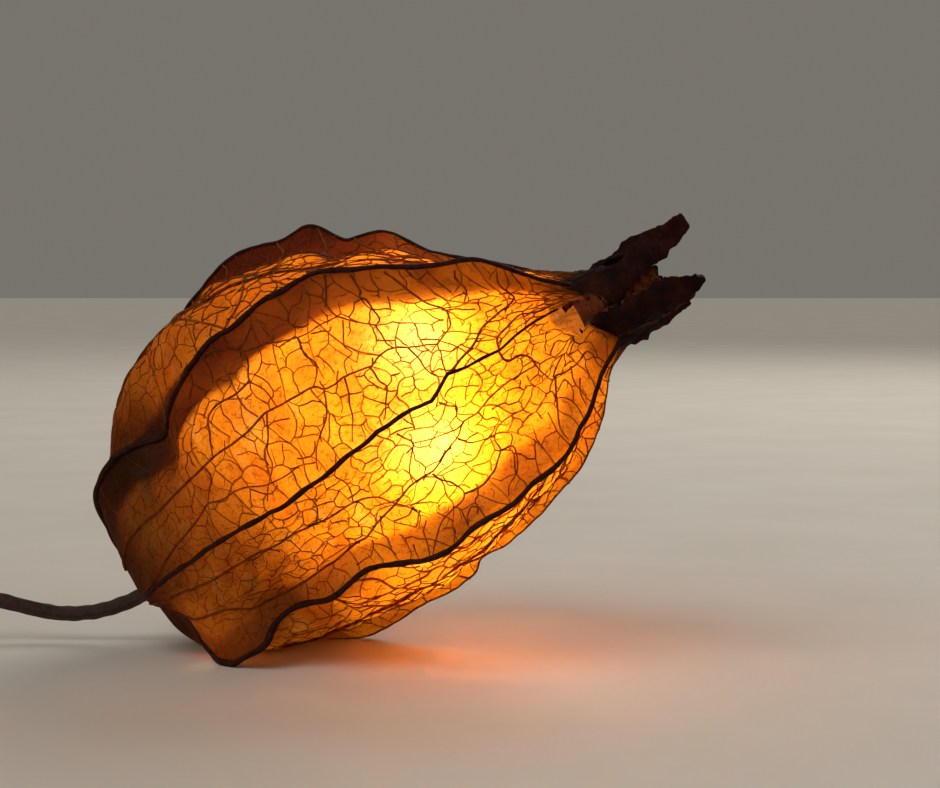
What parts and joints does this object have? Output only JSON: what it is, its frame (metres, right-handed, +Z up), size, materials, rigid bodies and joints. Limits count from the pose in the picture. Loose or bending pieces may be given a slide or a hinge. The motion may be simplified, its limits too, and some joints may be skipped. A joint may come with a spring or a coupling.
{
  "type": "physalis berry",
  "caption": "Physalis berry as picked, lying on its side: dried ridged husk with a raised net of veins, torn mouth and dark curled tips, thin bent stalk, round fruit inside.",
  "frame": {"origin": "on the table, under the middle of the part's outline", "axes": "+Z up from the table, +X from the stalk's cut end towards the husk's tips, -Y towards the side the picture shows"},
  "size_m": [0.0598, 0.029, 0.0312],
  "materials": {
    "husk": "dry papery leaf film with dark brown veins, ridges and tips",
    "stem": "dry matt dark brown stalk",
    "berry": "smooth waxy orange skin"
  },
  "bodies": {
    "root": {"husk": "husk", "stem": "stem", "berry": "berry"}
  },
  "joints": []
}
